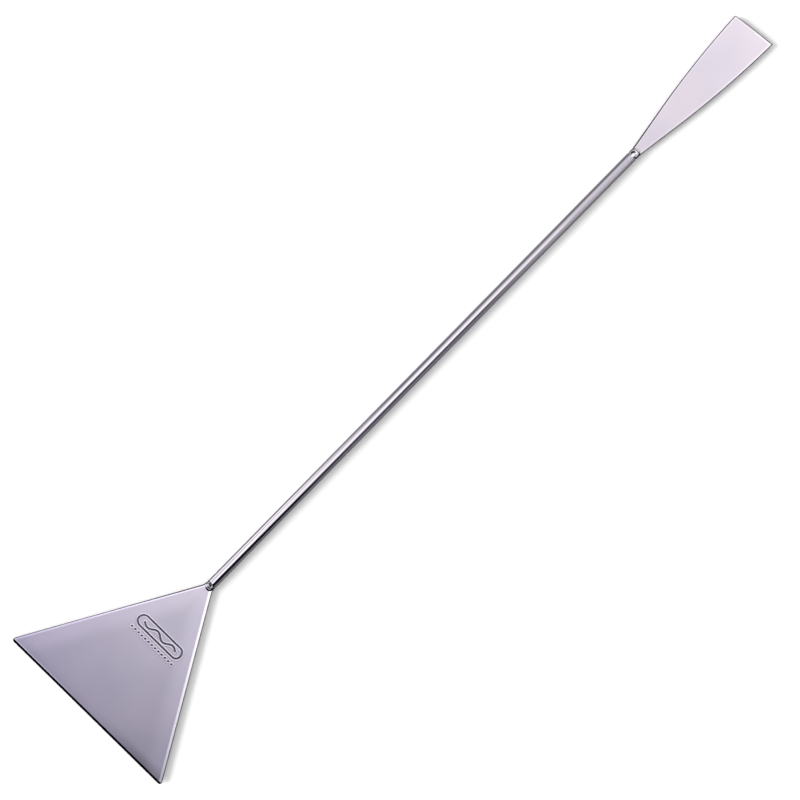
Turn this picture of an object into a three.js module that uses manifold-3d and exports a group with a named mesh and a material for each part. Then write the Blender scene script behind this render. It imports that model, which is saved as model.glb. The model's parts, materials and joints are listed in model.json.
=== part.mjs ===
// A double-ended stainless steel hand tool for levelling and shaping loose material.
// A triangular blade and a small flared spatula are cut from sheet and butt-welded to the
// two ends of one straight round rod, with a weld bead on each face of each joint.
// Nothing on it moves.
//
// Millimetres, +Z up. +X runs along the rod, from the triangular blade to the spatula.
// The origin is the middle of the tool's footprint, on the surface that it lies on.

import * as THREE from "three";
import { mergeVertices } from "three/addons/utils/BufferGeometryUtils.js";
import Module from "manifold-3d";

const wasm = await Module();
wasm.setup();

// ---- Driving dimensions ----

const SHEET = 1.0; // thickness of both blades
const ROD_DIAMETER = 5;
const ROD_LENGTH = 289.3;
const SEAT_GAP = 0.05; // between pieces that meet face to face under a weld
const CUT_GAP = 0.15; // between the rod's taper and the bead that it shapes

// Triangular blade, from its working edge to the rod
const BLADE_WIDTH = 101.2;
const BLADE_LENGTH = 83.5; // working edge to the cut-off apex
const APEX_WIDTH = 5.6;
const BLADE_TANG = { length: 2.75, width: 4.6 };
const BLADE_CORNER = 2.2; // how far back from its corner the rounding starts
const GROUND_EDGE = { width: 1.2, land: 0.35 }; // bevel on the upper face

// Stamped panel on the triangular blade: a round-ended frame round a wave, and a row of dots
const STAMP_DEPTH = 0.2;
const STAMP_LINE = 0.7;
const FRAME = { x: 50.8, length: 28.4, width: 6.8 };
const WAVE = { length: 20, height: 2.2, crests: 2 };
const DOTS = { x: 45.2, count: 13, pitch: 2.2, radius: 0.55 };

// Small spatula, from the rod to its tip
const SPATULA_TANG = { length: 1.55, width: 3.8 };
const SPATULA_ROOT_WIDTH = 4.9;
const FLARE = { slope: 0.154, end: 24.3, arcRadius: 480 }; // straight flare, then an arc
const SPATULA_LENGTH = { short: 81.1, long: 84.3 }; // the tip is cut askew
const TIP_CROWN = 0.3;
const SPATULA_SET = 0.5; // degrees that the spatula is welded on turned towards +Y

// Rod ends and the beads on them
const ROD_CHAMFER = 0.25; // at the triangular blade, where its square end shows
const WELD_TAPER = { length: 2.0, depth: 1.3 }; // at the spatula, buried in the bead
const BLADE_BEAD = { length: 3.5, width: 4.2, height: 1.5 };
const SPATULA_BEAD = { reach: 2.8, width: 4.7, height: 1.75 };

const ROD_SIDES = 64;
const CURVE_STEPS = 12;

// ---- Derived places: stations along the tool, from the working edge ----

const rodRadius = ROD_DIAMETER / 2;
const halfSheet = SHEET / 2;
const rodStart = BLADE_LENGTH + BLADE_TANG.length + SEAT_GAP;
const rodEnd = rodStart + ROD_LENGTH;
const axisHeight = rodRadius; // the rod lies on the ground, the sheets at its middle
const bladeTop = axisHeight + halfSheet;

// ---- Solids ----

function toManifold(geometry) {
  const bare = new THREE.BufferGeometry();
  bare.setAttribute("position", geometry.getAttribute("position").clone());
  if (geometry.index) bare.setIndex(geometry.index.clone());
  const merged = mergeVertices(bare, 1e-4);
  return new wasm.Manifold(
    new wasm.Mesh({
      numProp: 3,
      vertProperties: new Float32Array(merged.getAttribute("position").array),
      triVerts: new Uint32Array(merged.index.array),
    }),
  );
}

function toGeometry(solid) {
  const { vertProperties, triVerts } = solid.getMesh();
  const geometry = new THREE.BufferGeometry();
  geometry.setAttribute("position", new THREE.BufferAttribute(vertProperties, 3));
  geometry.setIndex(new THREE.BufferAttribute(triVerts, 1));
  geometry.computeVertexNormals();
  return geometry;
}

// A sheet-metal blank: the outline at full thickness, centred on z = 0.
function blank(outline) {
  const options = { depth: SHEET, bevelEnabled: false, curveSegments: CURVE_STEPS };
  return new THREE.ExtrudeGeometry(outline, options).translate(0, 0, -halfSheet);
}

// A punch for a stamped line: it stands STAMP_DEPTH deep in the upper face.
function punch(outline) {
  const options = { depth: SHEET, bevelEnabled: false, curveSegments: CURVE_STEPS };
  const geometry = new THREE.ExtrudeGeometry(outline, options);
  return toManifold(geometry.translate(0, 0, halfSheet - STAMP_DEPTH));
}

// ---- Triangular blade ----

// A closed outline through the given corners, symmetric about the X axis. Each corner is
// [x, y, back]: back is how far from the corner its rounding starts, 0 for a sharp one.
function mirroredOutline(corners) {
  const lower = corners.map(([x, y, back]) => [x, -y, back]).reverse();
  const all = [...corners, ...lower];
  const shape = new THREE.Shape();
  all.forEach(([x, y, back], i) => {
    const here = new THREE.Vector2(x, y);
    const [before, after] = [all.at(i - 1), all[(i + 1) % all.length]].map(([a, b]) =>
      new THREE.Vector2(a, b).sub(here).setLength(back).add(here),
    );
    if (i === 0) shape.moveTo(before.x, before.y);
    else shape.lineTo(before.x, before.y);
    if (back > 0) shape.quadraticCurveTo(x, y, after.x, after.y);
  });
  shape.closePath();
  return shape;
}

function bladeOutline() {
  return mirroredOutline([
    [BLADE_LENGTH + BLADE_TANG.length, BLADE_TANG.width / 2, 0],
    [BLADE_LENGTH, APEX_WIDTH / 2, 0],
    [0, BLADE_WIDTH / 2, BLADE_CORNER],
  ]);
}

// The bar that the grinding of the working edge takes away, along the whole edge.
function grindingCut() {
  const rise = (SHEET - GROUND_EDGE.land) / GROUND_EDGE.width;
  const section = new THREE.Shape();
  section.moveTo(-GROUND_EDGE.width, -halfSheet + GROUND_EDGE.land - rise);
  section.lineTo(2 * GROUND_EDGE.width, halfSheet + rise);
  section.lineTo(-GROUND_EDGE.width, halfSheet + rise);
  const length = BLADE_WIDTH + 10;
  const options = { depth: length, bevelEnabled: false };
  const bar = new THREE.ExtrudeGeometry(section, options);
  return toManifold(bar.rotateX(Math.PI / 2).translate(0, length / 2, 0));
}

function stadium(shape, length, width) {
  const r = width / 2;
  const straight = length / 2 - r;
  shape.absarc(FRAME.x, straight, r, 0, Math.PI, false);
  shape.absarc(FRAME.x, -straight, r, Math.PI, 2 * Math.PI, false);
  shape.closePath();
  return shape;
}

function frameLine() {
  const outline = stadium(new THREE.Shape(), FRAME.length, FRAME.width);
  const inside = [FRAME.length - 2 * STAMP_LINE, FRAME.width - 2 * STAMP_LINE];
  outline.holes.push(stadium(new THREE.Path(), ...inside));
  return outline;
}

// A sine wave across the blade, drawn as a band STAMP_LINE wide.
function waveLine() {
  const steps = 16 * WAVE.crests;
  const turns = (2 * Math.PI * WAVE.crests) / WAVE.length;
  const side = (offset) =>
    Array.from({ length: steps + 1 }, (_, i) => {
      const y = WAVE.length * (i / steps - 0.5);
      const x = FRAME.x + (WAVE.height / 2) * Math.sin(turns * y);
      const slope = (WAVE.height / 2) * turns * Math.cos(turns * y);
      const across = new THREE.Vector2(1, -slope).setLength(offset);
      return new THREE.Vector2(x + across.x, y + across.y);
    });
  return new THREE.Shape([
    ...side(STAMP_LINE / 2),
    ...side(-STAMP_LINE / 2).reverse(),
  ]);
}

function dotPunches() {
  return Array.from({ length: DOTS.count }, (_, i) => {
    const y = DOTS.pitch * (i - (DOTS.count - 1) / 2);
    return punch(new THREE.Shape().absarc(DOTS.x, y, DOTS.radius, 0, 2 * Math.PI));
  });
}

function triangularBlade() {
  const cuts = [grindingCut(), punch(frameLine()), punch(waveLine()), ...dotPunches()];
  const whole = toManifold(blank(bladeOutline()));
  return toGeometry(cuts.reduce((solid, cut) => solid.subtract(cut), whole));
}

// ---- Rod ----

// Turned about the X axis, grown all round by grow.
function rodSolid(grow = 0) {
  const r = rodRadius + grow;
  const profile = [
    [0, -grow],
    [r - ROD_CHAMFER, -grow],
    [r, ROD_CHAMFER - grow],
    [r, ROD_LENGTH - WELD_TAPER.length],
    [r - WELD_TAPER.depth, ROD_LENGTH + grow],
    [0, ROD_LENGTH + grow],
  ];
  const points = profile.map(([x, y]) => new THREE.Vector2(x, y));
  return new THREE.LatheGeometry(points, ROD_SIDES).rotateZ(-Math.PI / 2);
}

// ---- Small spatula ----

// The long sides flare in a straight line and then bend into a wide arc, which is nearly
// parallel to the axis at the tip. x = 0 is the end of the tang.
function spatulaOutline() {
  const shoulder = SPATULA_ROOT_WIDTH / 2;
  const rise = FLARE.slope * (FLARE.end - SPATULA_TANG.length);
  const angle = Math.atan(FLARE.slope);
  const centre = {
    x: FLARE.end + FLARE.arcRadius * Math.sin(angle),
    y: shoulder + rise - FLARE.arcRadius * Math.cos(angle),
  };
  const from = Math.PI / 2 + angle;
  const to = (length) => Math.acos((length - centre.x) / FLARE.arcRadius);
  const [short, long] = [to(SPATULA_LENGTH.short), to(SPATULA_LENGTH.long)];
  const tip = {
    x: (SPATULA_LENGTH.short + SPATULA_LENGTH.long) / 2 + 2 * TIP_CROWN,
    endY: centre.y + FLARE.arcRadius * Math.sin(short),
  };

  const shape = new THREE.Shape();
  shape.moveTo(0, SPATULA_TANG.width / 2);
  shape.lineTo(0, -SPATULA_TANG.width / 2);
  shape.lineTo(SPATULA_TANG.length, -shoulder);
  shape.absarc(centre.x, -centre.y, FLARE.arcRadius, -from, -long, false);
  shape.quadraticCurveTo(tip.x, 0, SPATULA_LENGTH.short, tip.endY);
  shape.absarc(centre.x, centre.y, FLARE.arcRadius, short, from, false);
  shape.lineTo(SPATULA_TANG.length, shoulder);
  shape.closePath();
  return shape;
}

// ---- Weld beads ----

function slab(low, high) {
  const size = high.map((v, i) => v - low[i]);
  const middle = high.map((v, i) => (v + low[i]) / 2);
  return toManifold(new THREE.BoxGeometry(...size).translate(...middle));
}

function dome(x, semiX, width, height) {
  const ball = new THREE.SphereGeometry(1, 32, 20).scale(semiX, width / 2, height);
  return toManifold(ball.translate(x, 0, bladeTop));
}

// A quarter dome on the tang, with its back against the rod's square end.
function bladeBead() {
  const { length, width, height } = BLADE_BEAD;
  const room = slab(
    [rodStart - 2 * length, -width, bladeTop + SEAT_GAP],
    [rodStart - SEAT_GAP, width, bladeTop + 2 * height],
  );
  return toGeometry(dome(rodStart, length, width, height).intersect(room));
}

// A dome that flows over the rod's tapered end and onto the spatula.
function spatulaBead() {
  const { reach, width, height } = SPATULA_BEAD;
  const room = slab(
    [rodEnd - 2 * reach, -width, bladeTop + SEAT_GAP],
    [rodEnd + 2 * reach, width, bladeTop + 2 * height],
  );
  const rod = toManifold(rodSolid(CUT_GAP).translate(rodStart, 0, axisHeight));
  return toGeometry(dome(rodEnd, reach, width, height).intersect(room).subtract(rod));
}

// The same bead on the other face: turned half a turn about the rod's axis.
function underneath(geometry) {
  return geometry.translate(0, 0, -axisHeight).rotateX(Math.PI).translate(0, 0, axisHeight);
}

// ---- Assembly ----

const STEEL = { metalness: 1, roughness: 0.3 };

function mesh(name, geometry, color, finish = STEEL) {
  const made = new THREE.Mesh(geometry, new THREE.MeshStandardMaterial({ color, ...finish }));
  made.name = name;
  return made;
}

const tool = new THREE.Group();

const blade = mesh("triangular_blade", triangularBlade(), 0xb4b0bf);
blade.position.z = axisHeight;

const rod = mesh("rod", rodSolid(), 0xc3c0ca, { metalness: 1, roughness: 0.12 });
rod.position.set(rodStart, 0, axisHeight);

const spatula = mesh("spatula_blade", blank(spatulaOutline()), 0xcfc8d3);
spatula.position.set(rodEnd + SEAT_GAP, 0, axisHeight);
spatula.rotation.z = THREE.MathUtils.degToRad(SPATULA_SET);

tool.add(blade, rod, spatula);
tool.add(mesh("blade_weld_upper", bladeBead(), 0xa8a4b0));
tool.add(mesh("blade_weld_lower", underneath(bladeBead()), 0xa8a4b0));
tool.add(mesh("spatula_weld_upper", spatulaBead(), 0xa8a4b0));
tool.add(mesh("spatula_weld_lower", underneath(spatulaBead()), 0xa8a4b0));

// The origin goes under the middle of the whole length.
tool.position.x = -new THREE.Box3().setFromObject(tool).getCenter(new THREE.Vector3()).x;

export default tool;
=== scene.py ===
# %% [markdown]
# # A two-ended stainless steel spatula
# The tool is three pieces of steel: a triangular blade, a straight round rod and a small
# flared spatula, butt-welded end to end. This lesson rebuilds its looks around the packed
# CAD frame. Every size starts from the frame, so the pieces land where the CAD has them.

# %% Load the frame
import json
import math

import bmesh
import bpy
from mathutils import Matrix, Vector

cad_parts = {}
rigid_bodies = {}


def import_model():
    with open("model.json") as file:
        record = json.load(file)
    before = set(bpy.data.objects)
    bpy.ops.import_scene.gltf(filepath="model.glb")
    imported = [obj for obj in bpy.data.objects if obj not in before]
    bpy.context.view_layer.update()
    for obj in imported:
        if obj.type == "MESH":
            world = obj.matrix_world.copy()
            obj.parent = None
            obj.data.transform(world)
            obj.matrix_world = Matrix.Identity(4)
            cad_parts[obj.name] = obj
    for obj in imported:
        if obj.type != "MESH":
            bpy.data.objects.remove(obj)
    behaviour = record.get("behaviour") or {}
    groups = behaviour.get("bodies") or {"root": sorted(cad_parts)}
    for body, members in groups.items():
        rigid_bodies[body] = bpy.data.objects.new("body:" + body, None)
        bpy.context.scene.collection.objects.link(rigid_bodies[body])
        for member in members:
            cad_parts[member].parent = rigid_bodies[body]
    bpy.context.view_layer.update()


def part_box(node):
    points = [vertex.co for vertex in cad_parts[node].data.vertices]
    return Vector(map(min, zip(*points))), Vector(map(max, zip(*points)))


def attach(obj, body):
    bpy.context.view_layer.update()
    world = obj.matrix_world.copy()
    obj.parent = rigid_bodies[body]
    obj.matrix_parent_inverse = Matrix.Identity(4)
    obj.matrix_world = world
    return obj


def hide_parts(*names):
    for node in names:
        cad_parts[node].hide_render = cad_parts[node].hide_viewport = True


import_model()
scene = bpy.context.scene

# %% [markdown]
# ## Places from the frame
# A node's box says where its piece lies. The working edge of the triangular blade is the
# low X end of its box, the rod's box gives its axis and radius, and both blades share one
# thickness of sheet. Everything is in metres, so a size in millimetres is written n * MM.

# %% Read the places
MM = 0.001
blade_low, blade_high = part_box("triangular_blade")
rod_low, rod_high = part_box("rod")
spatula_low, spatula_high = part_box("spatula_blade")

edge_x = blade_low.x
axis_z = (rod_low.z + rod_high.z) / 2
rod_radius = (rod_high.z - rod_low.z) / 2
sheet_bottom = blade_low.z
sheet_top = blade_high.z
print("rod radius", rod_radius / MM, "mm, sheet", (sheet_top - sheet_bottom) / MM, "mm")

# %% [markdown]
# ## From a bmesh to a piece
# Every new piece takes the same last steps: its normals are made to point out, edges that
# turn sharply are marked so that the smooth shading breaks there, it is named after the
# CAD node that it stands for, which is hidden, and it is attached to the body it rides on.

# %% Finish a piece
def finish_piece(bm, node, sharp=40):
    """Turns a bmesh into the piece that replaces a CAD node. sharp is in degrees."""
    bmesh.ops.recalc_face_normals(bm, faces=bm.faces[:])
    mesh = bpy.data.meshes.new(node + "_form")
    bm.to_mesh(mesh)
    bm.free()
    mesh.shade_smooth()
    mesh.set_sharp_from_angle(angle=math.radians(sharp))
    piece = bpy.data.objects.new(node + "_steel", mesh)
    scene.collection.objects.link(piece)
    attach(piece, "root")
    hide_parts(node)
    print(piece.name, len(mesh.polygons), "faces")
    return piece


# %% [markdown]
# ## Sheet metal
# Both blades are cut from sheet, and what makes sheet look real is its rim: a small round
# arris, and next to it the face rolls off a little, because the shear drags the metal down.
# A grid is bent to the blade's outline with its columns crowded towards the rims, where
# the surface turns, and extruded once, so that face and back are the same clean quads.

# %% Columns and rims
ARRIS = 0.3 * MM
ROLL_DROP = 0.01 * MM
ROLL_REACH = 0.7 * MM
RIM_STEPS = [d * MM for d in (0, 0.02, 0.06, 0.12, 0.2, 0.3, 0.5, 0.8, 1.2, 1.8, 2.6)]
INNER_COLUMNS = 24
COLUMNS = INNER_COLUMNS + 2 * (len(RIM_STEPS) - 1)


def across(column, half):
    """The Y place of a grid column where the blade is 2 * half wide."""
    squeeze = min(1, half / (2 * RIM_STEPS[-1]))
    from_rim = min(column, COLUMNS - column)
    side = -1 if column <= COLUMNS / 2 else 1
    if from_rim < len(RIM_STEPS):
        return side * (half - RIM_STEPS[from_rim] * squeeze)
    share = (column - COLUMNS / 2) / (INNER_COLUMNS / 2)
    return share * (half - RIM_STEPS[-1] * squeeze)


def arris_drop(d):
    """How far a rounded arris lies below the face, at a distance d from the rim."""
    if d >= ARRIS:
        return 0
    return ARRIS - math.sqrt(ARRIS**2 - (ARRIS - max(d, 0)) ** 2)


def roll_drop(d):
    return ROLL_DROP * math.exp(-d / ROLL_REACH)


def sheet_solid(stations, place):
    """Bends a grid to a blade. place(station, column) gives x, y, the heights of the face
    and the back there, and the distance to the cut rim, which the finish will need."""
    bm = bmesh.new()
    for layer in ("rim", "stamp"):
        bm.verts.layers.float.new(layer)
    rim = bm.verts.layers.float["rim"]
    rows = len(stations) - 1
    bmesh.ops.create_grid(bm, x_segments=rows, y_segments=COLUMNS, size=1)
    raised = bmesh.ops.extrude_face_region(bm, geom=bm.faces[:])
    face = {v for v in raised["geom"] if isinstance(v, bmesh.types.BMVert)}
    for vert in bm.verts:
        row = round((vert.co.x + 1) / 2 * rows)
        column = round((vert.co.y + 1) / 2 * COLUMNS)
        x, y, top, bottom, from_rim = place(stations[row], column)
        vert.co = (x, y, top if vert in face else bottom)
        vert[rim] = from_rim / MM
    return bm


def spread(start, end, steps):
    return [start + (end - start) * i / steps for i in range(steps)]


# %% [markdown]
# ## The stamped panel
# A stamped line is a shallow groove with sloping walls, and the metal that it pushed aside
# stands up as a low lip along it. The panel is a round-ended frame round a wave, with a row
# of dots on its working-edge side. It is real geometry: one height formula, built from the
# distance to the nearest line, moves the vertices of a finely cut patch of the face.

# %% The height of the stamping
LINE_HALF = 0.5 * MM
LINE_DEPTH = 0.2 * MM
LIP = 0.035 * MM
FRAME_X = 50.8 * MM
FRAME_LENGTH = 28.4 * MM
FRAME_WIDTH = 6.8 * MM
WAVE_LENGTH = 20 * MM
WAVE_HEIGHT = 2.2 * MM
WAVE_CRESTS = 2
DOTS_X = 45.2 * MM
DOT_PITCH = 2.2 * MM
DOT_COUNT = 13
DOT_RADIUS = 0.55 * MM


def to_frame(x, y):
    """Distance to the middle of the round-ended frame's line."""
    radius = (FRAME_WIDTH - 2 * LINE_HALF) / 2
    straight = (FRAME_LENGTH - FRAME_WIDTH) / 2
    return abs(math.hypot(x - FRAME_X, max(abs(y) - straight, 0)) - radius)


def to_wave(x, y):
    """Distance to the middle of the wave's line, whose ends are round."""
    end = WAVE_LENGTH / 2
    turns = 2 * math.pi * WAVE_CRESTS / WAVE_LENGTH
    inside = max(-end, min(end, y))
    rise = WAVE_HEIGHT / 2 * math.sin(turns * inside)
    slope = WAVE_HEIGHT / 2 * turns * math.cos(turns * inside)
    beside = abs(x - FRAME_X - rise) / math.hypot(1, slope)
    return math.hypot(beside, y - inside)


def to_dots(x, y):
    """Distance to the nearest dot, less what makes a dot wider than a line."""
    last = (DOT_COUNT - 1) / 2
    nearest = max(-last, min(last, round(y / DOT_PITCH)))
    from_centre = math.hypot(x - DOTS_X, y - nearest * DOT_PITCH)
    return max(0, from_centre - (DOT_RADIUS - LINE_HALF))


def stamping(x, y):
    """How much of a groove and how much of a lip there is, 0 to 1 each, at a distance x
    from the working edge."""
    d = min(to_frame(x, y), to_wave(x, y), to_dots(x, y)) / LINE_HALF
    groove = math.exp(-((1.25 * d) ** 4))
    lip = math.exp(-(((d - 1.45) / 0.45) ** 2))
    return groove, lip


# %% [markdown]
# ## Triangular blade
# Its outline is two straight sides from rounded corners to a cut-off apex, then a short
# tang. The working edge is ground: over its last millimetre the face slopes down to a thin
# land. The stations along X crowd at that edge, and the faces under the stamped panel are
# cut finer, with a filled grid, before the height formula moves them.

# %% Build the triangular blade
CORNER_HALF = 50.6 * MM
CORNER_RADIUS = 1.25 * MM
APEX_HALF = 2.8 * MM
TANG_HALF = 2.3 * MM
TANG_LENGTH = 2.75 * MM
GROUND_WIDTH = 1.2 * MM
GROUND_LAND = 0.35 * MM
PATCH = (43.4 * MM, 55.4 * MM, 15.6 * MM)  # from, to, and half its width
PATCH_CUTS = 13
LIP_HIGHLIGHT = 0.75  # how bright the lip's painted highlight is, next to how dark the groove is painted

blade_length = blade_high.x - edge_x
apex = blade_length - TANG_LENGTH
taper = (CORNER_HALF - APEX_HALF) / apex
side_run = math.hypot(1, taper)
corner_y = CORNER_HALF - CORNER_RADIUS * (taper + side_run)
corner_end = CORNER_RADIUS * (1 + taper / side_run)


def blade_half(x):
    """Half the blade's width at a distance x from its working edge."""
    if x >= apex:
        return APEX_HALF + (TANG_HALF - APEX_HALF) * (x - apex) / TANG_LENGTH
    if x >= corner_end:
        return CORNER_HALF - taper * x
    return corner_y + math.sqrt(CORNER_RADIUS**2 - (x - CORNER_RADIUS) ** 2)


def blade_place(x, column):
    half = blade_half(x)
    y = across(column, half)
    from_side = half - abs(y)
    slope = (sheet_top - sheet_bottom - GROUND_LAND) / GROUND_WIDTH
    ground = sheet_bottom + GROUND_LAND + slope * x
    face = sheet_top - arris_drop(from_side) - roll_drop(from_side)
    back = sheet_bottom + arris_drop(min(from_side, x))
    return edge_x + x, y, max(min(face, ground), back + ARRIS / 4), back, from_side


def stamp_face(bm):
    low, high, wide = PATCH
    stamp = bm.verts.layers.float["stamp"]

    def in_patch(face):
        middle = face.calc_center_median()
        x = middle.x - edge_x
        return face.normal.z > 0.9 and low < x < high and abs(middle.y) < wide

    bm.normal_update()
    faces = [f for f in bm.faces if in_patch(f)]
    edges = {e for f in faces for e in f.edges}
    bmesh.ops.subdivide_edges(bm, edges=list(edges), cuts=PATCH_CUTS, use_grid_fill=True)
    for vert in bm.verts:
        x = vert.co.x - edge_x
        if low < x < high and abs(vert.co.y) < wide and vert.co.z > axis_z:
            groove, lip = stamping(x, vert.co.y)
            vert.co.z += LIP * lip - LINE_DEPTH * groove
            # In the finish this number paints the groove darker and gives the lip a painted
            # highlight.
            vert[stamp] = groove - LIP_HIGHLIGHT * lip


near_edge = [d * MM for d in (0, 0.05, 0.12, 0.2, 0.35, 0.55, 0.75, 0.95, 1.12, 1.2, 1.28)]
blade_stations = near_edge + spread(1.3 * MM, 3 * MM, 4) + spread(3 * MM, PATCH[0], 18)
blade_stations += spread(*PATCH[:2], 7) + spread(PATCH[1], apex, 12)
blade_stations += spread(apex, blade_length, 3) + [blade_length]
blade_bm = sheet_solid(blade_stations, blade_place)
bmesh.ops.recalc_face_normals(blade_bm, faces=blade_bm.faces[:])
stamp_face(blade_bm)
blade = finish_piece(blade_bm, "triangular_blade")

# %% [markdown]
# ## Small spatula
# It leaves the rod as a short tang, flares in a straight line for its first third and then
# follows a wide arc until its sides are nearly parallel. Its tip is cut askew and a little
# crowned, and the whole blade is welded on turned half a degree.

# %% Build the small spatula
ROOT_HALF = 2.45 * MM
ROOT_TANG = (1.55 * MM, 1.9 * MM)  # length, half width
FLARE_SLOPE = 0.154
FLARE_END = 24.3 * MM
ARC_RADIUS = 480 * MM
TIP_SHORT = 81.1 * MM
TIP_LONG = 84.3 * MM
TIP_CROWN = 0.3 * MM
SPATULA_SET = math.radians(0.5)

flare_angle = math.atan(FLARE_SLOPE)
arc_x = FLARE_END + ARC_RADIUS * math.sin(flare_angle)
flare_half = ROOT_HALF + FLARE_SLOPE * (FLARE_END - ROOT_TANG[0])
arc_y = flare_half - ARC_RADIUS * math.cos(flare_angle)


def spatula_half(x):
    """Half the small spatula's width at a distance x from the end of its tang."""
    if x < ROOT_TANG[0]:
        return ROOT_TANG[1] + (ROOT_HALF - ROOT_TANG[1]) * x / ROOT_TANG[0]
    if x < FLARE_END:
        return ROOT_HALF + FLARE_SLOPE * (x - ROOT_TANG[0])
    return arc_y + math.sqrt(ARC_RADIUS**2 - (x - arc_x) ** 2)


def spatula_place(station, column):
    share = 2 * column / COLUMNS - 1
    length = (TIP_SHORT + TIP_LONG) / 2 + (TIP_SHORT - TIP_LONG) / 2 * share
    length += TIP_CROWN * (1 - share**2)
    x = station * length / TIP_LONG
    half = spatula_half(x)
    y = across(column, half)
    from_rim = min(half - abs(y), length - x)
    face = sheet_top - arris_drop(from_rim) - roll_drop(from_rim)
    back = sheet_bottom + arris_drop(from_rim)
    turned = Matrix.Rotation(SPATULA_SET, 2) @ Vector((x, y))
    return spatula_low.x + turned.x, turned.y, face, back, from_rim


near_tip = [TIP_LONG - d for d in reversed(RIM_STEPS)]
spatula_stations = spread(0, ROOT_TANG[0], 3) + spread(ROOT_TANG[0], near_tip[0], 60)
spatula_bm = sheet_solid(spatula_stations + near_tip, spatula_place)
spatula = finish_piece(spatula_bm, "spatula_blade")

# %% [markdown]
# ## Rod
# Bright drawn bar is as round as a lathe makes it, so its profile is spun about its axis.
# The end at the triangular blade is cut square with a small broken edge, which shows. The
# other end melted into the weld, so it tapers away under the bead.

# %% Spin the rod
ROD_TURNS = 128
BROKEN_EDGE = 0.3 * MM
TAPER_LENGTH = 2.0 * MM
TAPER_DEPTH = 1.3 * MM
NORMAL_GUARD = 0.1 * MM  # a ring this close to each end keeps the long faces' shading straight


def spin_profile(points, steps):
    """Spins (x, radius) points, which start and end on the axis, about the rod's axis."""
    bm = bmesh.new()
    verts = [bm.verts.new((x, 0, axis_z + radius)) for x, radius in points]
    edges = [bm.edges.new(pair) for pair in zip(verts, verts[1:])]
    bmesh.ops.spin(
        bm,
        geom=verts + edges,
        cent=(0, 0, axis_z),
        axis=(1, 0, 0),
        angle=2 * math.pi,
        steps=steps,
        use_merge=True,
    )
    bmesh.ops.remove_doubles(bm, verts=bm.verts[:], dist=0.001 * MM)
    return bm


def quarter_round(x, radius, size, steps=4):
    """Points of a rounded edge from a square end at x out to the full radius."""
    turns = [math.pi / 2 * i / steps for i in range(steps + 1)]
    return [(x + size * (1 - math.cos(a)), radius - size * (1 - math.sin(a))) for a in turns]


rod_points = [(rod_low.x, 0)]
rod_points += quarter_round(rod_low.x, rod_radius, BROKEN_EDGE)
taper_start = rod_high.x - TAPER_LENGTH
bare_start = rod_low.x + BROKEN_EDGE + NORMAL_GUARD
rod_points += [(x, rod_radius) for x in spread(bare_start, taper_start - NORMAL_GUARD, 30)]
rod_points += [
    (taper_start - NORMAL_GUARD, rod_radius),
    (taper_start, rod_radius),
    (rod_high.x, rod_radius - TAPER_DEPTH),
    (rod_high.x, 0),
]
rod = finish_piece(spin_profile(rod_points, ROD_TURNS), "rod", sharp=50)

# %% [markdown]
# ## Weld beads
# A hand-made bead is a small puddle of metal that froze from its rim inwards: its sides are
# steep, its top is nearly flat, and where the arc was lifted it keeps a crater. When the
# arc stops twice, a second puddle freezes over the first, with a crescent-shaped valley
# between them. A dense ball is squashed to the puddle, cut off at the sheet and at the
# rod's square end, and then its top is pushed in and out by one formula. Each vertex keeps
# a number for how dark the finish makes it, darkest in the hollows and round the toe:
# partly oxide, and partly painted shade, which makes one side of the toe blackest.

# %% Build the beads
BEAD_SINK = 0.12 * MM
BEAD_FULLNESS = 0.6  # under 1, the sides are steeper and the top is flatter than a ball's
RUN_OUT_THINNING = 2.0  # how much flatter the stretched half gets
TOE_START = 0.66  # share of the way out from the middle at which the toe's dark ring starts
TOE_FADE = 0.12  # and the share of it over which that ring sets in
HOLLOW_DARK_DEPTH = 0.4 * MM  # a hollow this deep is quite dark


def crater(at, radius, depth):
    """A round hollow with a raised brim."""

    def lift(x, y):
        r = math.hypot(x - at[0], y - at[1]) / radius
        return depth * (0.35 * math.exp(-(((r - 1.25) / 0.35) ** 2)) - math.exp(-((r / 0.8) ** 4)))

    return lift


def crescent(at, radius, width, depth, towards):
    """A valley along part of a circle, deepest in one direction, in radians."""

    def lift(x, y):
        r = math.hypot(x - at[0], y - at[1])
        turn = math.atan2(y - at[1], x - at[0]) - towards
        fade = max(0, math.cos(turn)) ** 2
        return -depth * fade * math.exp(-(((r - radius) / width) ** 2))

    return lift


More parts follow.
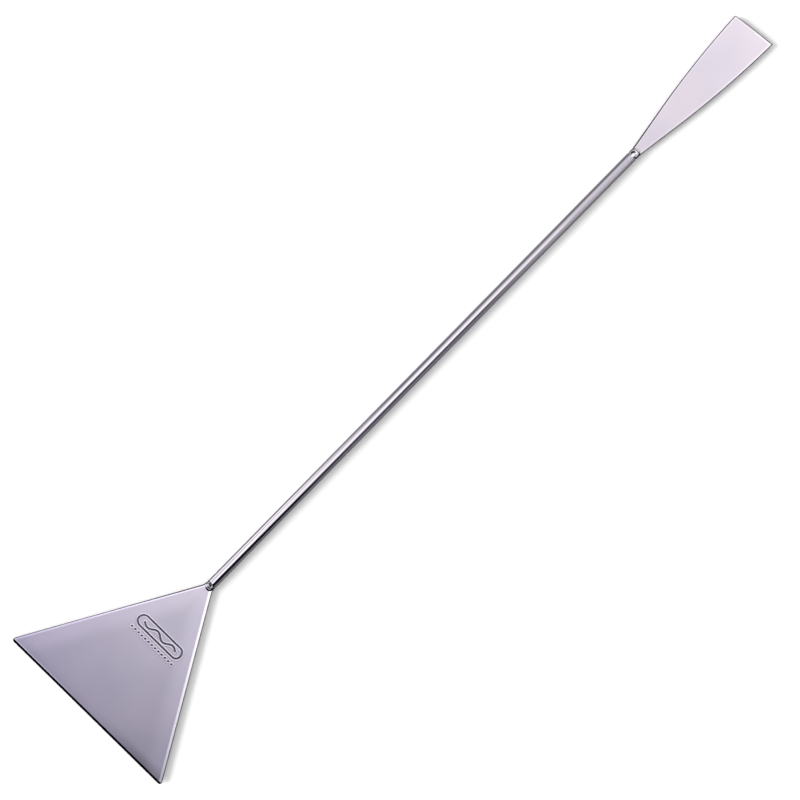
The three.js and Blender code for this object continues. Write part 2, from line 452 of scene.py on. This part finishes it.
def weld_bead(node, centre, size, lifts, darkening, run_out=1.0, cut_x=None, below=False):
    """A bead on the face of the sheet, or half a turn below it. size is three half axes,
    and run_out stretches and thins the half towards the small spatula. The four darkening
    numbers say how dark the bead is on its high places, how dark round its toe, on which side
    the toe is blackest, and how narrow that black place is: partly oxide, and partly painted
    shade, which makes one side of the toe blackest."""
    on_top, round_toe, shaded_side, narrowness = darkening
    bm = bmesh.new()
    soot_and_shade = bm.verts.layers.float.new("soot_and_shade")
    bmesh.ops.create_icosphere(bm, subdivisions=6, radius=1)
    for vert in bm.verts:
        fullness = BEAD_FULLNESS + (run_out - 1) * RUN_OUT_THINNING * max(0, vert.co.x)
        vert.co.z = math.copysign(abs(vert.co.z) ** fullness, vert.co.z)
        vert.co.x *= run_out if vert.co.x > 0 else 1
    bmesh.ops.scale(bm, verts=bm.verts[:], vec=size)
    bmesh.ops.translate(bm, verts=bm.verts[:], vec=(*centre, sheet_top))
    planes = [((0, 0, sheet_top - BEAD_SINK), (0, 0, -1))]
    if cut_x is not None:
        planes.append(((cut_x, 0, 0), (1, 0, 0)))
    for point, normal in planes:
        everything = bm.verts[:] + bm.edges[:] + bm.faces[:]
        bmesh.ops.bisect_plane(
            bm, geom=everything, plane_co=point, plane_no=normal, clear_outer=True
        )
        bmesh.ops.holes_fill(bm, edges=[e for e in bm.edges if e.is_boundary])
    for vert in bm.verts:
        height = (vert.co.z - sheet_top) / size[2]
        lift = sum(lift(vert.co.x, vert.co.y) for lift in lifts)
        vert.co.z += lift * min(1, max(0, 2 * height))
        from_centre = [(vert.co[i] - centre[i]) / size[i] for i in range(2)]
        from_centre[0] /= run_out if from_centre[0] > 0 else 1
        # The toe ring and the hollows are darkened, partly as oxide and partly as painted shade;
        # the ring is blackest on one side, which is painted shade.
        toe = max(0, min(1, (math.hypot(*from_centre) - TOE_START) / TOE_FADE))
        turn = math.atan2(from_centre[1], from_centre[0]) - shaded_side
        side = (0.5 + 0.5 * math.cos(turn)) ** narrowness
        vert[soot_and_shade] = min(1, on_top + round_toe * toe * side + max(0, -lift) / HOLLOW_DARK_DEPTH)
    if below:
        bmesh.ops.rotate(
            bm, verts=bm.verts[:], cent=(0, 0, axis_z), matrix=Matrix.Rotation(math.pi, 3, "X")
        )
    return finish_piece(bm, node, sharp=60)


blade_puddle = (rod_low.x - 1.5 * MM, -0.2 * MM)
blade_lifts = [
    crescent(blade_puddle, 0.55 * MM, 0.26 * MM, 0.7 * MM, towards=math.radians(200)),
    crescent(
        (rod_low.x - 1.2 * MM, 0.1 * MM), 0.6 * MM, 0.24 * MM, 0.7 * MM, towards=math.radians(-40)
    ),
    crater((rod_low.x - 0.75 * MM, 0.45 * MM), 0.42 * MM, 0.5 * MM),
]
spatula_puddle = (rod_high.x - 0.5 * MM, 0)
spatula_lifts = [
    crescent(spatula_puddle, 1.3 * MM, 0.34 * MM, 0.85 * MM, towards=math.radians(62)),
    crescent(spatula_puddle, 2.5 * MM, 0.22 * MM, 0.34 * MM, towards=math.radians(-8)),
    crater((rod_high.x + 1.3 * MM, -2.3 * MM), 0.7 * MM, 0.8 * MM),
]
for below in (False, True):
    side = "lower" if below else "upper"
    weld_bead(
        f"blade_weld_{side}",
        blade_puddle,
        (2.1 * MM, 2.1 * MM, 1.5 * MM),
        blade_lifts,
        # Painted shade makes the toe blackest on one side.
        darkening=(0.05, 1.7, math.radians(235), 1.5),
        cut_x=rod_low.x,
        below=below,
    )
    weld_bead(
        f"spatula_weld_{side}",
        (rod_high.x, -0.15 * MM),
        (2.6 * MM, 2.36 * MM, 1.72 * MM),
        spatula_lifts,
        # Painted shade makes the toe blackest on one side.
        darkening=(0.0, 1.5, math.radians(-80), 9),
        run_out=1.3,
        below=below,
    )

# %% [markdown]
# ## Shader maths
# A material is worked out with ordinary arithmetic. The class below holds one socket of a
# node tree, and adding or multiplying two of them adds the Math node that does it.

# %% Signals
class Signal:
    """A value on its way through a material's nodes."""

    def __init__(self, tree, socket=None):
        self.tree = tree
        self.socket = socket

    def node(self, kind, values=None, output=0, stops=None, **settings):
        """Adds a node: its settings first, then the values or links of its sockets."""
        made = self.tree.nodes.new(kind)
        for name, setting in settings.items():
            setattr(made, name, setting)
        for i, (position, tint) in enumerate(stops or ()):
            elements = made.color_ramp.elements
            element = elements[i] if i < 2 else elements.new(position)
            element.position = position
            element.color = (*tint, 1)
        for key, value in (values or {}).items():
            if isinstance(value, Signal):
                self.tree.links.new(value.socket, made.inputs[key])
            else:
                made.inputs[key].default_value = value
        return Signal(self.tree, made.outputs[output])

    def maths(self, operation, *values):
        return self.node("ShaderNodeMath", dict(enumerate(values)), operation=operation)

    def __add__(self, other):
        return self.maths("ADD", self, other)

    def __sub__(self, other):
        return self.maths("SUBTRACT", self, other)

    def __rsub__(self, other):
        return self.maths("SUBTRACT", other, self)

    def __mul__(self, other):
        return self.maths("MULTIPLY", self, other)

    __radd__ = __add__
    __rmul__ = __mul__


def noise(places, scale, stretch=(1, 1, 1), detail=2.0, roughness=0.5):
    """Noise whose features are about 1 / scale across, drawn out along each axis."""
    squeezed = [1 / s for s in stretch]
    spread_out = places.node("ShaderNodeMapping", {"Vector": places, "Scale": squeezed})
    values = {"Vector": spread_out, "Scale": scale, "Detail": detail, "Roughness": roughness}
    return places.node("ShaderNodeTexNoise", values, output="Fac")


# %% [markdown]
# ## Stainless steel
# Rolled sheet is satin: it has a fine grain along the rolling direction, soft clouds where
# it was polished or handled, and it is never quite flat, which bends what it mirrors. Drawn
# bar is smoother, with faint lines along its length. Weld metal is bright on its ripples.
# A sheared rim is dark, partly from its own rough cut and partly as painted shade, and the face
# just inside it carries a painted highlight. The stamped grooves are painted darker, and their
# lips carry a painted highlight. All of them are one metal, so one function makes them, and only
# the numbers differ.

# %% Make the steels
RIM_HIGHLIGHT_REACH = 1.5  # mm from the rim, where the painted highlight band ends
JOINT_SHADE_WIDTH = 0.25  # mm by which painted shade widens the dark rim next to a joint
MIDDLE_SHADE_RANGE = (4, 14)  # mm from the rim, between which painted shade darkens a sheet
STAMP_DARKNESS = 0.62
# The dark rim is partly the rough cut and partly painted shade.
RIM_DARK_AND_SHADE = 0.88
BLACK = 0.93  # how much of the metal's tone the beads' darkening and the rod end's band of painted shade take away
# Painted shade: the face near the working edge is darker, most towards the -Y corner.
EDGE_SHADE_REACH = 6 * MM
EDGE_SHADE_ALL_ALONG = 0.08
EDGE_SHADE_CORNER = 0.3  # more than that at the corner that leads
CORNER_Y = -48 * MM


def ease(value, start, end, low=0.0, high=1.0):
    """Goes softly from low to high while the value goes from start to end."""
    ends = {0: value, 1: start, 2: end, 3: low, 4: high}
    return value.node("ShaderNodeMapRange", ends, interpolation_type="SMOOTHSTEP")


def clouds_and_specks(places):
    """Soft patches round 0.5, and 1 in a few tiny pits."""
    patches = noise(places, 50, detail=1.0, roughness=0.5)
    cells = {"Vector": places, "Scale": 55.0}
    nearest = places.node("ShaderNodeTexVoronoi", cells, output="Distance")
    chosen = places.node("ShaderNodeTexVoronoi", cells, output="Color")
    pits = ease(nearest, 0.035, 0.015) * ease(chosen, 0.55, 0.6)
    return patches, pits


def rim_wear_and_painted_light(places, dark, bright, near_extra, far, joint):
    """How dark the rim is, partly from its own rough cut and partly as painted shade, and how
    bright the painted highlight on the face inside it is. On the side towards -Y the painted
    highlight can be wider and brighter. On the other side the dark rim is widened as painted
    shade, going from the X place far to the joint."""
    from_rim = places.node("ShaderNodeAttribute", output="Fac", attribute_name="rim")
    x = places.node("ShaderNodeSeparateXYZ", {0: places}, output="X")
    y = places.node("ShaderNodeSeparateXYZ", {0: places}, output="Y")
    # Painted shade: on the +Y side the dark rim is wider towards the joint.
    dark = dark + ease(x, far, joint) * ease(y, -0.5 * MM, 0.5 * MM) * JOINT_SHADE_WIDTH
    # Painted highlight: on the -Y side the bright band is wider and brighter.
    near = ease(y, 0.5 * MM, -0.5 * MM) * near_extra
    sheared_and_shaded = ease(from_rim, dark + 0.18, dark)
    reach = RIM_HIGHLIGHT_REACH + near
    band = ease(from_rim, dark + 0.04, dark + 0.2) * ease(from_rim, reach, reach * 0.6)
    side_highlight_share = ease(x, joint, 2 * far - joint, 0.15, 0.9)
    return from_rim, sheared_and_shaded, band * (bright + near * side_highlight_share)


def steel(
    name,
    cool,
    warm,
    roughness,
    grain,
    clouds,
    waves,
    stretch,
    rim=None,
    middle_shade=0.0,
    soot_and_shade=False,
    ground=None,
    rod_end_shade=None,
):
    """A stainless finish. cool and warm are the two greys that it drifts between; grain,
    clouds and waves say how strong the fine lines, soft patches and slow waves are. rim is
    five numbers for the rim's dark cut, partly painted shade, and its painted highlight, and
    the argument after rim says how much painted shade darkens the middle of a sheet. ground
    is the X place where a ground bevel ends, painted darker as painted shade and lined across,
    with a thin painted highlight just behind it and the face next to it darkened as painted
    shade, most of all towards the corner that leads; and the last argument is the X place
    where a black band of painted shade round the rod's square end stops."""
    material = bpy.data.materials.new(name)
    material.use_nodes = True
    tree = material.node_tree
    shader = tree.nodes["Principled BSDF"]
    shader.inputs["Metallic"].default_value = 1.0
    places = Signal(tree).node("ShaderNodeTexCoord", output="Object")

    lines = noise(places, 1800, stretch, detail=3.0)
    drift = noise(places, 32, detail=1.0)
    swell = noise(places, 26, detail=0.0)
    patches, pits = clouds_and_specks(places)

    share = (drift - 0.5) * 2.2 + 0.5 + (patches - 0.5) * 0.5
    hue = places.node(
        "ShaderNodeMix",
        {0: share, 6: (*cool, 1), 7: (*warm, 1)},
        output=2,
        data_type="RGBA",
    )
    tone = 1 + (patches - 0.5) * (2 * clouds) + (lines - 0.5) * grain - pits * 0.25
    gloss = roughness + (lines - 0.5) * grain + (patches - 0.5) * (0.4 * clouds)
    if rim:
        from_rim, sheared_and_shaded, rim_highlight = rim_wear_and_painted_light(places, *rim)
        # The stamped grooves are painted darker, and their lips carry a painted highlight.
        stamp = places.node("ShaderNodeAttribute", output="Fac", attribute_name="stamp")
        tone = tone - stamp * STAMP_DARKNESS
        # The dark rim is partly the rough cut and partly painted shade, the band inside it is a
        # painted highlight, and the middle of the sheet is darkened as painted shade.
        tone = tone + rim_highlight - sheared_and_shaded * RIM_DARK_AND_SHADE - ease(from_rim, *MIDDLE_SHADE_RANGE) * middle_shade
        gloss = gloss + sheared_and_shaded * 0.15 - rim_highlight * 0.15
    if soot_and_shade:
        # The beads' darkening is partly oxide and partly painted shade.
        oxide_and_shade = places.node("ShaderNodeAttribute", output="Fac", attribute_name="soot_and_shade")
        tone = tone - ease(oxide_and_shade, 0.1, 0.85) * BLACK
        gloss = gloss + ease(oxide_and_shade, 0.1, 0.9) * 0.1
    if ground is not None:
        x = places.node("ShaderNodeSeparateXYZ", {0: places}, output="X")
        y = places.node("ShaderNodeSeparateXYZ", {0: places}, output="Y")
        # The bevel is painted darker as painted shade, with grinding lines across it; a thin
        # painted highlight runs just behind it, and the face next to it is darkened as painted
        # shade, most towards the -Y corner.
        bevel = ease(x, ground + 0.06 * MM, ground - 0.06 * MM)
        corner = ease(y, 0, CORNER_Y) * EDGE_SHADE_CORNER
        edge_shade = ease(x, ground + EDGE_SHADE_REACH, ground) * (EDGE_SHADE_ALL_ALONG + corner)
        line = ease(x, ground + 0.7 * MM, ground + 0.35 * MM) * ease(x, ground, ground + 0.15 * MM)
        tone = tone + line * (ease(y, 0, 30 * MM) * 0.5)
        tone = tone + bevel * ((lines - 0.5) * 0.5 - 0.5) - edge_shade
        gloss = gloss - bevel * 0.08
    if rod_end_shade is not None:
        # A black band of painted shade round the rod's square end, where it steps down to the
        # bead.
        x = places.node("ShaderNodeSeparateXYZ", {0: places}, output="X")
        tone = tone - ease(x, rod_end_shade + 0.35 * MM, rod_end_shade + 0.1 * MM) * BLACK
    scaled = {0: hue, "Scale": tone}
    colour = places.node("ShaderNodeVectorMath", scaled, operation="SCALE")
    tree.links.new(colour.socket, shader.inputs["Base Color"])
    tree.links.new(gloss.socket, shader.inputs["Roughness"])

    height = lines * (grain * 0.4e-6) + swell * (waves * MM)
    bumped = places.node("ShaderNodeBump", {"Height": height, "Strength": 1.0, "Distance": 1.0})
    tree.links.new(bumped.socket, shader.inputs["Normal"])
    return material


SHEET_GRAIN = (40, 1, 1)
blade_steel = steel(
    "satin_sheet",
    cool=(0.64, 0.63, 0.70),
    warm=(0.68, 0.65, 0.705),
    roughness=0.31,
    grain=0.004,
    clouds=0.07,
    waves=0.05,
    stretch=SHEET_GRAIN,
    # Its rim's dark cut is partly painted shade, and the band inside it, wider on the -Y side, is
    # a painted highlight.
    rim=(0.25, 0.42, 0.65, edge_x + 35 * MM, edge_x + apex),
    # Painted shade darkens the middle of the sheet.
    middle_shade=0.14,
    # The bevel and the face by the working edge are darkened as painted shade, with a painted
    # highlight line between them.
    ground=edge_x + GROUND_WIDTH,
)
# The small spatula is the same sheet as the blade, but its greys are paler: painted light.
spatula_steel = steel(
    "satin_small_sheet",
    cool=(0.69, 0.67, 0.725),
    warm=(0.73, 0.69, 0.725),
    roughness=0.31,
    grain=0.004,
    clouds=0.05,
    waves=0.04,
    stretch=SHEET_GRAIN,
    # Its rim's dark cut is partly painted shade, and the band inside it is a painted highlight.
    rim=(0.33, 0.10, 0.12, spatula_low.x + 50 * MM, spatula_low.x),
)
rod_steel = steel(
    "drawn_bar",
    cool=(0.70, 0.69, 0.74),
    warm=(0.73, 0.70, 0.74),
    roughness=0.08,
    grain=0.03,
    clouds=0.02,
    waves=0.0,
    stretch=(80, 1, 1),
    # Painted shade: a black band round the square end.
    rod_end_shade=rod_low.x + BROKEN_EDGE,
)
weld_steel = steel(
    "weld_metal",
    cool=(0.80, 0.79, 0.83),
    warm=(0.84, 0.81, 0.82),
    roughness=0.11,
    grain=0.05,
    clouds=0.08,
    waves=0.0,
    stretch=(2, 1, 1),
    soot_and_shade=True,
)

FINISHES = {
    "triangular_blade": blade_steel,
    "spatula_blade": spatula_steel,
    "rod": rod_steel,
}
for piece in [o for o in scene.collection.all_objects if o.name.endswith("_steel")]:
    node = piece.name.removesuffix("_steel")
    piece.data.materials.append(FINISHES.get(node, weld_steel))

# %% [markdown]
# ## Studio
# The tool lies on a white table under soft light from its left. Metal shows what surrounds
# it, so the panels matter more than the lamps: a wide pale one overhead that fades out past
# the triangular blade, and a dark one beyond the rod that draws its black line. They show
# only in the metal. The metal doesn't see the sun or the floor, but a grey card just
# under the floor, which has no counterpart in a real room.

# %% Floor, panels and lamps
def stage_plane(name, size, place, aim=None):
    bm = bmesh.new()
    bmesh.ops.create_grid(bm, x_segments=1, y_segments=1, size=0.5)
    bmesh.ops.scale(bm, verts=bm.verts[:], vec=(*size, 1))
    mesh = bpy.data.meshes.new(name)
    bm.to_mesh(mesh)
    bm.free()
    plane = bpy.data.objects.new(name, mesh)
    plane.location = place
    if aim is not None:
        towards = Vector(aim) - Vector(place)
        plane.rotation_euler = towards.to_track_quat("-Z", "Y").to_euler()
    scene.collection.objects.link(plane)
    return plane


def plain(name, colour):
    material = bpy.data.materials.new(name)
    material.use_nodes = True
    inputs = material.node_tree.nodes["Principled BSDF"].inputs
    inputs["Base Color"].default_value = (*colour, 1)
    inputs["Roughness"].default_value = 0.9
    inputs["Specular IOR Level"].default_value = 0.0
    return material


def glowing(name, tints, strength, along="X"):
    """A black cloth that glows. tints are (place in metres, colour) stops along its X."""
    material = plain(name, (0, 0, 0))
    tree = material.node_tree
    shader = tree.nodes["Principled BSDF"]
    start, end = tints[0][0], tints[-1][0]
    places = Signal(tree).node("ShaderNodeTexCoord", output="Object")
    split = places.node("ShaderNodeSeparateXYZ", {0: places}, output=along)
    share = (split - start) * (1 / (end - start))
    stops = [((place - start) / (end - start), tint) for place, tint in tints]
    tint = share.node("ShaderNodeValToRGB", {0: share}, stops=stops)
    tree.links.new(tint.socket, shader.inputs["Emission Color"])
    shader.inputs["Emission Strength"].default_value = strength
    return material


def metal_only(panel):
    """The panel only shows in the metal: it neither blocks nor lights anything else."""
    panel.visible_camera = False
    panel.visible_diffuse = False
    panel.visible_shadow = False
    panel.visible_transmission = False


floor = stage_plane("table", (12, 12), (0, 0, 0))
floor.data.materials.append(plain("white_table", (0.93, 0.93, 0.93)))
floor.visible_glossy = False

# The card stands in for the floor in the metal, paler on one side of the rod.
CARD_TINTS = [(-0.012, (0.13, 0.13, 0.15)), (0.012, (0.29, 0.28, 0.31))]
card = stage_plane("grey_card", (12, 12), (0, 0, -2 * MM))
card.data.materials.append(glowing("card_grey", CARD_TINTS, 1.0, along="Y"))
metal_only(card)

# Each panel's glow is a few colours at places along the tool.
OVERHEAD_TINTS = [
    (-0.40, (0.08, 0.07, 0.19)),
    (-0.315, (0.37, 0.35, 0.49)),
    (-0.27, (0.48, 0.455, 0.57)),
    (-0.23, (0.54, 0.51, 0.58)),
    (-0.19, (0.94, 0.90, 0.94)),
    (-0.12, (0.80, 0.76, 0.80)),
    (0.20, (0.47, 0.45, 0.49)),
    (0.28, (0.53, 0.50, 0.54)),
    (0.36, (0.80, 0.76, 0.79)),
]
overhead = stage_plane("overhead_panel", (2.0, 0.54), (0, 0.14, 0.6))
overhead.rotation_euler.z = math.radians(-10)
overhead.data.materials.append(glowing("overhead_glow", OVERHEAD_TINTS, 1.74))
metal_only(overhead)

WINDOW_TINTS = [(-0.14, (0.8, 0.77, 0.8)), (0.0, (1, 0.98, 1)), (0.14, (0.85, 0.81, 0.84))]
window = stage_plane("window", (0.3, 0.34), (0, 0.02, 0.55))
window.data.materials.append(glowing("window_glow", WINDOW_TINTS, 1.45))
metal_only(window)

# The far wall faces back along -Y, so its own X runs from the spatula to the blade.
FAR_TINTS = [(-0.2, (0.16, 0.15, 0.16)), (0.02, (0.14, 0.13, 0.15)), (0.15, (1.0, 0.97, 1.0))]
far_wall = stage_plane("far_wall", (2.4, 0.56), (0, 1.0, 0.28), aim=(0, 0, 0.28))
far_wall.data.materials.append(glowing("far_glow", FAR_TINTS, 1.4))
metal_only(far_wall)

WALL_TINTS = [
    (-0.12, (0.01, 0.01, 0.015)),
    (-0.06, (0.10, 0.09, 0.12)),
    (0.07, (0.14, 0.13, 0.16)),
    (0.17, (0.44, 0.41, 0.46)),
]
wall = stage_plane("side_wall", (2.0, 0.92), (0, -0.41, 0.44), aim=(0, 0, 0.1))
wall.data.materials.append(glowing("side_cloth", WALL_TINTS, 1.0))
metal_only(wall)

# A narrow lamp in front of the side wall draws the thin light streak near the spatula.
STRIP_TINTS = [
    (-0.25, (0.20, 0.19, 0.21)),
    (-0.168, (0.66, 0.63, 0.67)),
    (-0.107, (0.88, 0.84, 0.88)),
    (0.25, (0.90, 0.86, 0.90)),
]
strip = stage_plane("strip_lamp", (0.5, 0.2), (0.32, -0.3, 0.42), aim=(0.32, 0, 0.42))
strip.data.materials.append(glowing("strip_glow", STRIP_TINTS, 1.35))
metal_only(strip)

end_wall = stage_plane("end_wall", (0.7, 1.0), (-0.62, 0, 0.4), aim=(-0.2, 0, 0.0))
end_wall.data.materials.append(plain("end_cloth", (0, 0, 0)))
metal_only(end_wall)

key = bpy.data.objects.new("key", bpy.data.lights.new("key", "SUN"))
key.data.energy = 3.0
key.data.angle = math.radians(38)
key.rotation_euler = Vector((0.62, -0.62, -0.55)).to_track_quat("-Z", "Y").to_euler()
key.visible_glossy = False
scene.collection.objects.link(key)

scene.world = bpy.data.worlds.new("room")
scene.world.use_nodes = True
backdrop = scene.world.node_tree.nodes["Background"].inputs
backdrop["Color"].default_value = (1, 1, 1, 1)
backdrop["Strength"].default_value = 0.8
scene.view_settings.view_transform = "Standard"

# %% [markdown]
# ## Camera
# The view is straight down on the flat of the blades, from far off with a long lens, so
# that nothing tapers. The camera is turned so that the rod climbs to the upper right.

# %% Aim the camera
VIEW_WIDTH = 0.384
VIEW_CENTRE = (-0.0173, -0.0025)
ROD_CLIMB = math.radians(45.53)

camera = bpy.data.objects.new("camera", bpy.data.cameras.new("camera"))
camera.data.lens = 120
camera.data.sensor_width = 36
distance = VIEW_WIDTH * camera.data.lens / camera.data.sensor_width
camera.location = (*VIEW_CENTRE, axis_z + distance)
camera.rotation_euler = (0, 0, -ROD_CLIMB)
camera.data.clip_end = 30
scene.collection.objects.link(camera)
scene.camera = camera
print("camera", round(distance, 3), "m above the rod")
